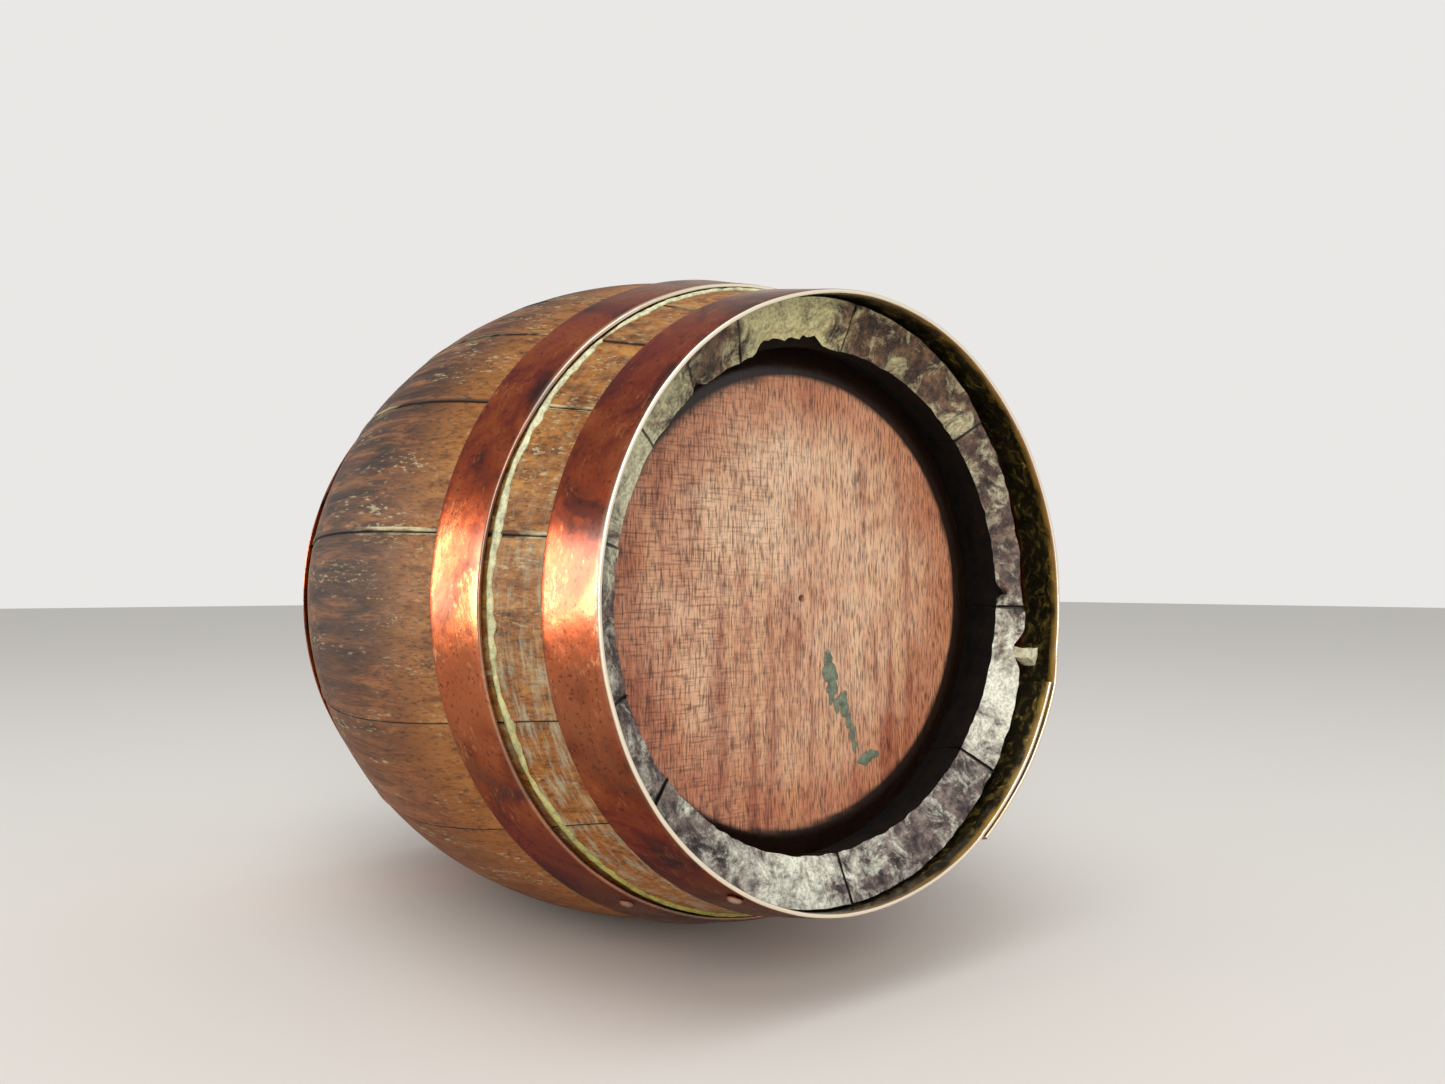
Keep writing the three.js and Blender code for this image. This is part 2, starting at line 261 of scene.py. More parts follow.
def new_object(name, bm, materials=()):
    """Moves a bmesh into a new object of the scene."""
    mesh = bpy.data.meshes.new(name)
    bm.to_mesh(mesh)
    bm.free()
    for material in materials:
        mesh.materials.append(material)
    made = bpy.data.objects.new(name, mesh)
    bpy.context.scene.collection.objects.link(made)
    return made


def finish_mesh(bm, name, materials, cad_nodes=(), body=BODY):
    """Turns a bmesh into a piece that rides on a body and stands for CAD nodes."""
    bmesh.ops.recalc_face_normals(bm, faces=bm.faces)
    for face in bm.faces:
        face.smooth = True
    for edge in bm.edges:
        if len(edge.link_faces) == 2:
            edge.smooth = edge.calc_face_angle(0) < SHARP
    piece = new_object(name, bm, materials)
    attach(piece, body)
    if cad_nodes:
        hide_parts(*cad_nodes)
    return piece


# ---- Materials ----


def settled(value):
    """A hex colour as linear numbers, and any other value as it is."""
    return linear(value) if isinstance(value, str) else value


def wire(tree, node, inputs):
    """Sets each input to a constant or hex colour, or links it to a socket or a node's first output."""
    for key, value in inputs.items():
        if isinstance(value, bpy.types.Node):
            value = value.outputs[0]
        if isinstance(value, bpy.types.NodeSocket):
            tree.links.new(value, node.inputs[key])
        else:
            node.inputs[key].default_value = settled(value)


def add(tree, kind, *feeds, stops=(), **named):
    """Adds a node: feeds go to its first inputs in order, and named has its settings and other inputs.

    An input's name has a capital letter. A map range's feeds are its value, from low, from high, to low and
    to high, and a mix's are its share and its two colours.
    """
    node = tree.nodes.new("ShaderNode" + kind)
    inputs = dict(enumerate(feeds))
    for key, value in named.items():
        if key[0].isupper():
            inputs[key] = value
        else:
            setattr(node, key, value)
    if stops:
        ramp = node.color_ramp
        while len(ramp.elements) < len(stops):
            ramp.elements.new(0.5)
        for element, (place, tint) in zip(ramp.elements, stops):
            element.position = place
            element.color = settled(tint)
    wire(tree, node, inputs)
    return node


def per_mm(size):
    """A noise scale, on object coordinates in metres, whose features are about size millimetres."""
    return 1000 / size


def blank(name):
    """A new material, with its node tree, its shader and its object coordinates."""
    material = bpy.data.materials.new(name)
    material.use_nodes = True
    tree = material.node_tree
    tree.nodes.clear()
    shader = add(tree, "BsdfPrincipled")
    add(tree, "OutputMaterial", shader)
    place = add(tree, "TexCoord").outputs["Object"]
    return material, tree, shader, place


def grey(value):
    return (value, value, value, 1)


def patinated_copper(finish):
    """Hammered sheet copper: dark red-brown with oxide, and worn to pale scuffs, with its worn edges
    painted near white as glints of light.
    """
    material, tree, shader, place = blank("patinated_hammered_copper")
    cloud = add(tree, "TexNoise", place, Scale=per_mm(26), Detail=6, Roughness=0.6, Distortion=0.7)
    base = add(
        tree, "ValToRGB", cloud,
        stops=[(0.38, finish.copper_dark), (0.5, finish.copper_mid), (0.66, "#a25531")],
    )
    # painted reflection: copper painted paler at about 198 degrees, where it mirrors bright surroundings
    # low at the left
    haze = add(tree, "Attribute", attribute_name="haze").outputs["Fac"]
    glow_mixed = add(tree, "MixRGB", haze, base, "#c07048")
    speckle = add(tree, "TexNoise", place, Scale=per_mm(1.4), Detail=3, Roughness=0.6)
    pits = add(tree, "MapRange", speckle, 0.3, 0.43, 0.35, 1)
    pitted = add(tree, "MixRGB", 1.0, glow_mixed, pits, blend_type="MULTIPLY")
    # scuffs are short strokes that lean across the strip, in a few worn places
    leaning = add(tree, "Mapping", place, Rotation=(0.5, 0.3, 0.4), Scale=(0.3, 1.0, 0.5))
    strokes = add(tree, "TexNoise", leaning, Scale=per_mm(1.2), Detail=4, Roughness=0.7)
    worn = add(tree, "TexNoise", place, Scale=per_mm(14), Detail=4, Roughness=0.7)
    stroke_share = add(tree, "MapRange", strokes, 0.5, 0.64, 0, 0.6)
    worn_share = add(tree, "MapRange", worn, 0.52, 0.68, 0, 1)
    scuffs = add(tree, "Math", stroke_share, worn_share, operation="MULTIPLY")
    scuffed = add(tree, "MixRGB", scuffs, pitted, finish.copper_light)
    # worn edges painted near white: partly bare copper, partly painted glints
    rubbed = add(tree, "Attribute", attribute_name="rubbed").outputs["Fac"]
    edged = add(tree, "MixRGB", rubbed, scuffed, finish.copper_bare_glint)
    lip = add(tree, "Attribute", attribute_name="lip_inside").outputs["Fac"]
    streak = add(tree, "TexNoise", place, Scale=per_mm(5), Detail=6, Roughness=0.75, Distortion=1.0)
    tarnish = add(
        tree, "ValToRGB", streak, stops=[(0.5, finish.tarnish), (0.62, "#6b5c2c"), (0.72, "#d8bd74")]
    )
    golden = add(tree, "Attribute", attribute_name="golden").outputs["Fac"]
    brassy = add(tree, "MixRGB", golden, tarnish, "#c9a548")
    full = add(tree, "MixRGB", lip, edged, brassy)
    # the film of tarnish inside the lip is not metal
    metal = add(tree, "MapRange", lip, 0, 1, 1, 0.3)
    roughness = add(tree, "MapRange", cloud, 0.35, 0.65, 0.36, 0.2)
    rougher = add(tree, "MixRGB", scuffs, roughness, grey(0.42))
    # hammer marks 4 mm apart, and 1 mm scratches
    marks = add(tree, "TexVoronoi", place, Scale=per_mm(4), Randomness=1.0, feature="SMOOTH_F1")
    hammered = add(tree, "Bump", Strength=0.3, Distance=0.3 * MM, Height=marks)
    scratched = add(tree, "Bump", Strength=0.4, Distance=0.15 * MM, Height=strokes, Normal=hammered)
    wire(tree, shader, {
        "Base Color": full, "Metallic": metal, "Specular Tint": "#b8a08c", "Coat Weight": 0.3,
        "Coat Roughness": 0.22, "Roughness": rougher, "Normal": scratched,
    })
    return material


def weathered_oak(finish):
    """Split oak staves, worn dry: open grain along the keg, tan by the hoops, stained dark at the bilge."""
    material, tree, shader, place = blank("weathered_oak")
    board = add(tree, "Attribute", attribute_name="board").outputs["Fac"]
    seed = add(tree, "Math", board, 40.0, operation="MULTIPLY")
    along = add(tree, "Mapping", place, Scale=(1, 0.045, 1))
    fine = add(
        tree, "TexNoise", along, W=seed, Scale=per_mm(0.8), Detail=3, Roughness=0.65, noise_dimensions="4D"
    )
    streaks = add(
        tree, "TexNoise", along, W=seed, Scale=per_mm(4), Detail=6, Roughness=0.7, Distortion=0.5,
        noise_dimensions="4D",
    )
    tan = add(
        tree, "ValToRGB", streaks, stops=[(0.34, "#57310f"), (0.5, finish.oak_tan), (0.66, "#ab7834")]
    )
    dark = add(
        tree, "ValToRGB", streaks, stops=[(0.38, "#22120a"), (0.5, finish.oak_dark), (0.62, "#86501f")]
    )
    axes = add(tree, "SeparateXYZ", place).outputs
    off_middle = add(tree, "Math", axes["Y"], operation="ABSOLUTE")
    ragged = add(tree, "Math", streaks, -0.11, off_middle, operation="MULTIPLY_ADD")
    stain = add(tree, "MapRange", ragged, -0.024, 0.006, 1, 0, interpolation_type="SMOOTHSTEP")
    stained = add(tree, "MixRGB", stain, tan, dark)
    # the underside is more red and lighter: painted warm light thrown up from below
    low = add(tree, "MapRange", axes["Z"], 0.11, 0.04, 0, 0.5)
    glow_from_below = add(tree, "MixRGB", low, stained, "#9c5a24")
    # open pores, 1 mm apart so that they show
    pores = add(tree, "MapRange", fine, 0.34, 0.5, 0.42, 1.12)
    grained = add(tree, "MixRGB", 1.0, glow_from_below, pores, blend_type="MULTIPLY")
    # lime flecks caught in the grain, in clusters
    short = add(tree, "Mapping", place, Scale=(1, 0.12, 1))
    fleck = add(tree, "TexNoise", short, Scale=per_mm(0.9), Detail=2, Roughness=0.6)
    cluster = add(tree, "TexNoise", short, Scale=per_mm(8), Detail=4, Roughness=0.65)
    fleck_share = add(tree, "MapRange", fleck, 0.56, 0.66, 0, 0.85)
    cluster_share = add(tree, "MapRange", cluster, 0.5, 0.62, 0, 1)
    flecks = add(tree, "Math", fleck_share, cluster_share, operation="MULTIPLY")
    flecked = add(tree, "MixRGB", flecks, grained, finish.lime)
    # grey residue between the hoops, most on the lower side
    between = add(tree, "MapRange", off_middle, 0.082, 0.09, 0, 1)
    lower = add(tree, "MapRange", axes["Z"], 0.15, 0.08, 0.25, 1)
    ringwise = add(tree, "Mapping", place, Scale=(0.5, 1.3, 0.3))
    film = add(tree, "TexNoise", ringwise, Scale=per_mm(3.5), Detail=8, Roughness=0.75)
    film_share = add(tree, "MapRange", film, 0.48, 0.64, 0, 0.85)
    film_here = add(tree, "Math", between, film_share, operation="MULTIPLY")
    film_low = add(tree, "Math", film_here, lower, operation="MULTIPLY")
    filmed = add(tree, "MixRGB", film_low, flecked, "#a9a88e")
    tone = add(tree, "MapRange", board, 0, 1, 0.8, 1.15)
    toned = add(tree, "MixRGB", 1.0, filmed, tone, blend_type="MULTIPLY")
    seam = add(tree, "Attribute", attribute_name="seam").outputs["Fac"]
    seam_share = add(tree, "MapRange", seam, 0.82, 0.94, 0, 0.85)
    filling = add(tree, "MixRGB", cluster_share, "#3a2618", "#c9bd93")
    seamed = add(tree, "MixRGB", seam_share, toned, filling)
    roughness = add(tree, "MapRange", streaks, 0.3, 0.7, 0.72, 0.48)
    ridges = add(tree, "Bump", Strength=0.6, Distance=0.3 * MM, Height=fine)
    dents = add(tree, "Bump", Strength=0.4, Distance=0.5 * MM, Height=streaks, Normal=ridges)
    wire(tree, shader, {
        "Base Color": seamed, "Specular IOR Level": 0.2, "Roughness": roughness, "Normal": dents,
    })
    return material


def weathered_end_grain(finish):
    """Oak end grain left bare for years: purple-grey with a crust of lime, yellower near the top."""
    material, tree, shader, place = blank("weathered_oak_end_grain")
    mottle = add(tree, "TexNoise", place, Scale=per_mm(5), Detail=7, Roughness=0.68)
    base = add(
        tree, "ValToRGB", mottle, stops=[(0.38, "#1f1512"), (0.5, finish.oak_grey), (0.62, "#85786f")]
    )
    axes = add(tree, "SeparateXYZ", place).outputs
    high = add(tree, "MapRange", axes["Z"], 0.09, 0.2, 0, 1)
    browned = add(tree, "MixRGB", high, "#ffffff", "#e0b988")
    wooden = add(tree, "MixRGB", 1.0, base, browned, blend_type="MULTIPLY")
    crust_colour = add(tree, "MixRGB", high, "#e2e3d2", "#d2cb96")
    crust = add(tree, "TexNoise", place, Scale=per_mm(8), Detail=10, Roughness=0.76, Distortion=0.6)
    lime = add(tree, "Attribute", attribute_name="lime").outputs["Fac"]
    limed = add(tree, "Math", lime, 0.2, crust, operation="MULTIPLY_ADD")
    crust_share = add(tree, "MapRange", limed, 0.5, 0.68, 0, 0.95)
    crusted = add(tree, "MixRGB", crust_share, wooden, crust_colour)
    grit = add(tree, "TexNoise", place, Scale=per_mm(1.0), Detail=4, Roughness=0.7)
    gritty = add(tree, "MapRange", grit, 0.32, 0.56, 0.5, 1.12)
    shaded = add(tree, "MixRGB", 1.0, crusted, gritty, blend_type="MULTIPLY")
    seam = add(tree, "Attribute", attribute_name="seam").outputs["Fac"]
    seam_share = add(tree, "MapRange", seam, 0.85, 0.95, 0, 0.9)
    seamed = add(tree, "MixRGB", seam_share, shaded, "#0d0908")
    coarse = add(tree, "Bump", Strength=0.5, Distance=0.7 * MM, Height=mottle)
    rough = add(tree, "Bump", Strength=0.5, Distance=0.3 * MM, Height=grit, Normal=coarse)
    wire(tree, shader, {"Base Color": seamed, "Roughness": 0.55, "Normal": rough})
    return material


def black_stained_shaded_oak(finish):
    """Oak inside the chime and the cask, black with damp and old wine, and darkened further as painted
    shade in the deep chime: nearly no colour left, and dull.
    """
    material, tree, shader, place = blank("black_stained_shaded_oak")
    damp = add(tree, "TexNoise", place, Scale=per_mm(6), Detail=6, Roughness=0.7)
    base = add(tree, "ValToRGB", damp, stops=[(0.4, "#060403"), (0.7, "#1d140f")])
    bump = add(tree, "Bump", Strength=0.5, Distance=0.5 * MM, Height=damp)
    wire(tree, shader, {"Base Color": base, "Roughness": 0.9, "Specular IOR Level": 0.2, "Normal": bump})
    return material


def planed_head_oak(finish):
    """A planed board, oiled reddish brown: fine open pores up and down, and saw marks across one side."""
    material, tree, shader, place = blank("planed_red_oak")
    lean = (0, math.radians(-5), 0)
    upright = add(tree, "Mapping", place, Rotation=lean, Scale=(1, 1, 0.07))
    bands = add(tree, "TexNoise", upright, Scale=per_mm(5), Detail=6, Roughness=0.66)
    base = add(
        tree, "ValToRGB", bands, stops=[(0.36, "#9c6046"), (0.5, finish.head_red), (0.64, "#d0a47c")]
    )
    fibre_place = add(tree, "Mapping", place, Rotation=lean, Scale=(1, 1, 0.11))
    fibres = add(tree, "TexNoise", fibre_place, Scale=per_mm(0.55), Detail=3, Roughness=0.65)
    # rubbing has left the middle paler, and the top is painted paler still as a sheen, a painted highlight
    rub = add(tree, "TexNoise", place, Scale=per_mm(34), Detail=7, Roughness=0.68)
    axes = add(tree, "SeparateXYZ", place).outputs
    top_sheen = add(tree, "MapRange", axes["Z"], 0.06, 0.18, -0.06, 0.12)
    rub_and_sheen = add(tree, "Math", rub, top_sheen, operation="ADD")
    rub_and_sheen_share = add(tree, "MapRange", rub_and_sheen, 0.42, 0.7, 0, 0.75)
    paled = add(tree, "MixRGB", rub_and_sheen_share, base, finish.head_pale)
    pores = add(tree, "MapRange", fibres, 0.36, 0.54, 0.3, 1.15)
    pored = add(tree, "MixRGB", 1.0, paled, pores, blend_type="MULTIPLY")
    # saw marks, 1 mm apart, on the left part of the board
    across = add(tree, "Mapping", place, Rotation=(0, math.radians(7), 0), Scale=(0.09, 1, 1))
    saw = add(tree, "TexNoise", across, Scale=per_mm(0.8), Detail=3, Roughness=0.6)
    left = add(tree, "MapRange", axes["X"], 0.012, -0.04, 0, 1)
    saw_dark = add(tree, "MapRange", saw, 0.36, 0.5, 0.55, 0)
    saw_share = add(tree, "Math", saw_dark, left, operation="MULTIPLY")
    sawn = add(tree, "MixRGB", saw_share, pored, "#54261b")
    oily = add(tree, "Attribute", attribute_name="rim_oil").outputs["Fac"]
    oiled = add(tree, "MixRGB", oily, sawn, "#dc9a78", blend_type="MULTIPLY")
    # painted shade: near black at the head's rim, where the chime wall shades it
    rim = add(tree, "Attribute", attribute_name="rim_dirt").outputs["Fac"]
    darkened = add(tree, "MixRGB", rim, oiled, "#0a0504")
    roughness = add(tree, "MapRange", rub, 0.35, 0.65, 0.46, 0.3)
    grain = add(tree, "Bump", Strength=0.5, Distance=0.2 * MM, Height=fibres)
    kerf = add(tree, "Bump", Strength=0.3, Distance=0.2 * MM, Height=saw, Normal=grain)
    wire(tree, shader, {"Base Color": darkened, "Roughness": roughness, "Normal": kerf})
    return material


def verdigris_crust(finish, name="verdigris", tints=("#d2d2ab", "#a8a24a")):
    """Copper salts in a crumbling bead: chalky pale green, yellower below, and olive by the copper."""
    material, tree, shader, place = blank(name)
    axes = add(tree, "SeparateXYZ", place).outputs
    height = add(tree, "MapRange", axes["Z"], 0.03, 0.14, 0, 1)
    tint = add(tree, "MixRGB", height, linear(tints[1]), linear(tints[0]))
    crumb = add(tree, "TexNoise", place, Scale=per_mm(2.5), Detail=6, Roughness=0.75)
    shade = add(tree, "MapRange", crumb, 0.3, 0.6, 0.35, 1.1)
    shaded = add(tree, "MixRGB", 1.0, tint, shade, blend_type="MULTIPLY")
    olive = add(tree, "Attribute", attribute_name="olive").outputs["Fac"]
    mixed = add(tree, "MixRGB", olive, shaded, finish.verdigris)
    bump = add(tree, "Bump", Strength=0.7, Distance=0.4 * MM, Height=crumb)
    wire(tree, shader, {"Base Color": mixed, "Roughness": 0.8, "Normal": bump})
    return material


def turned_bung_oak(finish):
    """A bung turned from a plain oak offcut: end grain rings on its face and soft, worn edges."""
    material, tree, shader, place = blank("turned_oak")
    grain_place = add(tree, "Mapping", place, Rotation=(0, 0, 0.3), Scale=(1, 0.12, 1))
    grain = add(tree, "TexNoise", grain_place, Scale=per_mm(1.2), Detail=5, Roughness=0.65)
    base = add(
        tree, "ValToRGB", grain, stops=[(0.32, "#6a4a2a"), (0.52, finish.bung_oak), (0.72, "#bd9a68")]
    )
    darkening = add(tree, "TexNoise", place, Scale=per_mm(8), Detail=6, Roughness=0.7)
    dirt_share = add(tree, "MapRange", darkening, 0.5, 0.7, 0, 0.6)
    darkened = add(tree, "MixRGB", dirt_share, base, "#3d281a")
    bump = add(tree, "Bump", Strength=0.4, Distance=0.25 * MM, Height=grain)
    wire(tree, shader, {"Base Color": darkened, "Roughness": 0.6, "Normal": bump})
    return material


def shared(name, maker, finish):
    """The material of that name, made the first time that it is asked for."""
    return bpy.data.materials.get(name) or maker(finish)


# ---- Staves ----


def stave_outline(sizes):
    """A stave's section along its length, as (radius, y) points: outside, end, chime, croze and inside."""
    end = HALF_LENGTH - sizes.hoop_lip
    inner_end = end - sizes.chime_bevel

    def inside(y):
        return bent_radius(sizes, y) - sizes.stave_thickness

    groove_front = HEAD_FACE_Y - 3.7 * MM
    groove_back = groove_front - 5.6 * MM
    groove_radius = inside(groove_front) + 4.5 * MM
    outer = []
    step = 0.7 * MM
    y = end
    while y > 2 * MM:
        outer.append((bent_radius(sizes, y), y))
        y -= step
        step = min(step * 1.12, 3.2 * MM)
    outer.append((bent_radius(sizes, 0), 0))
    inner = [(inside(inner_end - i * 1.3 * MM), inner_end - i * 1.3 * MM) for i in range(1, 11)]
    inner += [(inside(groove_front), groove_front), (groove_radius, groove_front)]
    inner += [(groove_radius, groove_back), (inside(groove_back), groove_back)]
    inner += [(inside(y * MM), y * MM) for y in range(84, 0, -6)]
    edge_out, edge_in = (outer[0][0], end), (inside(inner_end), inner_end)
    cuts = 10
    chime = [
        tuple(a + (b - a) * i / cuts for a, b in zip(edge_in, edge_out, strict=True)) for i in range(cuts)
    ]
    half = list(reversed(inner)) + chime + outer
    mirror = [(radius, -y) for radius, y in reversed(half) if y > 1e-9]
    return [point for point in half if point[1] > -1e-9] + mirror


def stave_wear(sizes, here, front):
    """How far the outside of a stave's end is worn back, at an angle in degrees."""
    if not front:
        return 0.35 * sizes.end_wear * hump(here, 215, 70) + 0.8 * MM
    return sizes.end_wear * (0.75 * hump(here, 8, 88) + 0.25 * hump(here, 12, 40))


def shape_stave(sizes, bm, start, span, index):
    """Wears the ends, chips the edges and makes the surfaces uneven, on an unrolled stave."""
    end = HALF_LENGTH - sizes.hoop_lip
    board, seam, lime = (bm.verts.layers.float.new(name) for name in ("board", "seam", "lime"))
    tone = (0.5 + 0.5 * noise.noise(Vector((index * 3.7, 1.3, 0.4)))) % 1
    uneven = 0.5 * MM * noise.noise(Vector((index * 5.1, 2.2, 8.8)))
    for vert in bm.verts:
        turn, y, radius = vert.co
        around = start + turn
        here = math.degrees(around) % 360
        front = y < 0
        outside = bent_radius(sizes, y)
        depth = (outside - radius) / sizes.stave_thickness  # 0 outside, 1 inside
        from_end = end - abs(y)
        # the outside is worn back near the end, and the end face shrinks with it
        wear = stave_wear(sizes, here, front) * (1 + 0.25 * wander(around, y, 9 * MM, 3))
        fade = smooth(1 - (from_end - sizes.chime_bevel * min(max(depth, 0), 1)) / (13 * MM))
        radius -= wear * fade * (1 - min(max(depth, 0), 1)) * 0.93
        # the inner edge of the chime is chipped
        inner_edge = smooth(1 - abs(from_end - sizes.chime_bevel) / (6 * MM)) * smooth(depth * 2 - 0.9)
        radius += 0.5 * MM * inner_edge * (1 + wander(around, 0, 5 * MM, 5 if front else 6))
        if front:
            bite = 3.2 * MM * smooth(2.6 * hump(here, 102.5, 13)) * (1 + 0.5 * wander(around, 0, 3 * MM, 8))
            notch = 4.2 * MM * hump(here, 0.5, 3.6) * (1 if here < 90 else 0)
            nick = 2.2 * MM * hump(here, 130, 2.2)
            radius += inner_edge * (bite + notch + nick)
            hollow = 5.5 * MM * hump(here, 347.5, 5.5) * fade * smooth(1.3 - 1.5 * depth)
            radius -= hollow
        # a dressed but uneven surface
        radius += 0.16 * MM * wander(around, y, 14 * MM, index) * (1 if depth < 0.1 and fade == 0 else 0.5)
        if fade > 0:
            rough = 0.55 * MM * wander(around, radius, 4 * MM, index + 20)
            vert.co.y = y + (-1 if y < 0 else 1) * ((rough + uneven) * smooth(fade * 1.5) - 0.5 * MM)
        at_seam = turn < 1e-5 or turn > span - 1e-5
        if at_seam and from_end < 16 * MM:
            pull = 0.2 * MM * smooth(1.4 - from_end / (12 * MM))
            pull *= 1 + 0.8 * wander(around, radius, 3 * MM, 60 + index)
            vert.co.x += (pull if turn < 1e-5 else -pull) / radius
        vert.co.z = min(radius, AXIS_HEIGHT - 0.05 * MM)
        vert[board] = tone
        vert[seam] = 1 if at_seam else 0
        vert[lime] = max(amount * hump(here, centre, half) for centre, half, amount in LIME_PATCHES)


def make_stave(sizes, index, materials):
    start = math.radians(SEAMS[index])
    end = math.radians(SEAMS[(index + 1) % len(SEAMS)] + (360 if index + 1 == len(SEAMS) else 0))
    half_gap = sizes.seam_gap / 2 / (0.9 * sizes.bilge_radius)
    span = end - start - 2 * half_gap
    bm = unrolled(stave_outline(sizes), span, max(6, round(math.degrees(span) / 1.1)))
    inner_end = HALF_LENGTH - sizes.hoop_lip - sizes.chime_bevel
    for face in bm.faces:
        _, y, radius = face.calc_center_median()
        inside = radius < bent_radius(sizes, y) - 0.5 * sizes.stave_thickness
        if len(face.verts) > 4:
            face.material_index = 2
        elif abs(y) > inner_end or (not inside and abs(y) > HALF_LENGTH - sizes.chime_hoop_width):
            face.material_index = 1
        else:
            face.material_index = 2 if inside else 0
    shape_stave(sizes, bm, start + half_gap, span, index)
    rolled_up(bm, start + half_gap)
    sides = [f for f in bm.faces if len(f.verts) > 4]
    edges = list({edge for face in sides for edge in face.edges})
    bmesh.ops.bevel(
        bm, geom=edges, offset=sizes.seam_round, offset_type="OFFSET", segments=1, profile=0.5,
        affect="EDGES", material=-1, clamp_overlap=True,
    )
    bmesh.ops.dissolve_degenerate(bm, edges=bm.edges, dist=0.01 * MM)
    for vert in bm.verts:
        vert.co.z = max(vert.co.z, CAD_LOW.z + 0.02 * MM)
    name = "oak_bung_stave" if index == 0 else f"oak_stave_{index + 1}"
    node = "bung_stave" if index == 0 else f"stave_{index + 1}"
    return finish_mesh(bm, name, materials, [node])


def bung_place(sizes):
    """The matrix that turns +Z to point out of the bung hole, with its origin on the staves' surface."""
    out = Vector((math.cos(sizes.bung_angle), 0, math.sin(sizes.bung_angle)))
    spot = Vector((0, 0, AXIS_HEIGHT)) + out * sizes.bilge_radius
    return Matrix.Translation(spot) @ out.to_track_quat("Z", "Y").to_matrix().to_4x4()


def drill_bung_hole(sizes, stave):
    """Cuts the tapered hole, with a boolean that is applied at once."""
    bm = bmesh.new()
    depth = sizes.stave_thickness + 16 * MM
    wide = sizes.bung_radius + 0.95 * MM
    centred = Matrix.Translation((0, 0, 8 * MM - depth / 2))
    off_the_grid = Matrix.Rotation(0.03, 4, "Z")  # keeps the drill's edges off the stave's
    bmesh.ops.create_cone(
        bm, cap_ends=True, segments=72, radius1=wide - BUNG_TAPER * depth, radius2=wide, depth=depth,
        matrix=bung_place(sizes) @ centred @ off_the_grid,
    )
    drill = new_object("drill", bm)
    cut = stave.modifiers.new("hole", "BOOLEAN")
    cut.operation = "DIFFERENCE"
    cut.object = drill
    cut.solver = "EXACT"
    bpy.context.view_layer.update()
    drilled = bpy.data.meshes.new_from_object(stave.evaluated_get(bpy.context.evaluated_depsgraph_get()))
    stave.modifiers.remove(cut)
    drilled.name = stave.data.name
    stave.data = drilled
    bpy.data.objects.remove(drill)


class KEG_OT_staves(bpy.types.Operator):
    """Makes the bent staves, with their worn and chipped ends, and drills the bung hole"""

    bl_idname = "keg.staves"
    bl_label = "Staves"

    def execute(self, context):
        sizes, finish = context.scene.keg_sizes, context.scene.keg_finish
        materials = [
            shared("weathered_oak", weathered_oak, finish),
            shared("weathered_oak_end_grain", weathered_end_grain, finish),
            # near black: stained, with painted shade for the deep chime
            shared("black_stained_shaded_oak", black_stained_shaded_oak, finish),
        ]
        staves = [make_stave(sizes, index, materials) for index in range(len(SEAMS))]
        drill_bung_hole(sizes, staves[0])
        return {"FINISHED"}


# ---- Heads ----


def make_head(sizes, name, node, end, materials):
    low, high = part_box(node)
    face_y, back_y = (low.y, high.y) if end < 0 else (high.y, low.y)
    inward = 1 if end < 0 else -1
    rim = (high.x - low.x) / 2
    wall = bent_radius(sizes, face_y) - sizes.stave_thickness - 0.7 * MM
    flat = wall - 6 * MM
    rings = 56
    outline = [(0, face_y + inward * 6 * MM), (0.9 * MM, face_y + inward * 6 * MM)] if end < 0 else []
    first = 1.2 * MM if end < 0 else 0
    outline += [(first + (flat - first) * i / rings, face_y) for i in range(rings + 1)]
    outline += [(flat + 1.2 * MM, face_y + inward * 0.4 * MM), (wall, face_y + inward * 4.0 * MM)]
    outline += [(rim - 0.4 * MM, face_y + inward * 4.1 * MM), (rim - 0.4 * MM, back_y - inward * 4.1 * MM)]
    outline += [(wall, back_y - inward * 4.0 * MM), (flat, back_y), (0, back_y)]
    bm = unrolled(outline, math.tau, 180)
    darkening = bm.verts.layers.float.new("rim_dirt")
    oil = bm.verts.layers.float.new("rim_oil")
    for vert in bm.verts:
        turn, y, radius = vert.co
        # rim_dirt is painted shade: the head goes near black in the corner under the chime wall, with a
        # ragged edge, and narrower at the lower left
        edge_wobble = 0.8 * MM * noise.noise(Vector((9 * math.cos(turn), 9 * math.sin(turn), end)))
        shade_narrowed = 3.5 * MM * hump(math.degrees(turn), 225, 75)
        vert[darkening] = 0.97 * smooth((radius + edge_wobble - shade_narrowed - flat + 4.2 * MM) / (1.3 * MM))
        vert[oil] = 0.6 * smooth((radius + 3 * edge_wobble - 46 * MM) / (20 * MM))
        if abs(y - face_y) < 1e-6 and radius < flat:
            across, up = 28 * radius * math.cos(turn), 28 * radius * math.sin(turn)
            dip = 0.25 * MM * (1 + noise.noise(Vector((across, up, end))))
            vert.co.y = y + inward * dip * smooth((flat - radius) / (8 * MM))
    rolled_up(bm, 0)
    closed_ring(bm)
    return finish_mesh(bm, name, materials, [node])


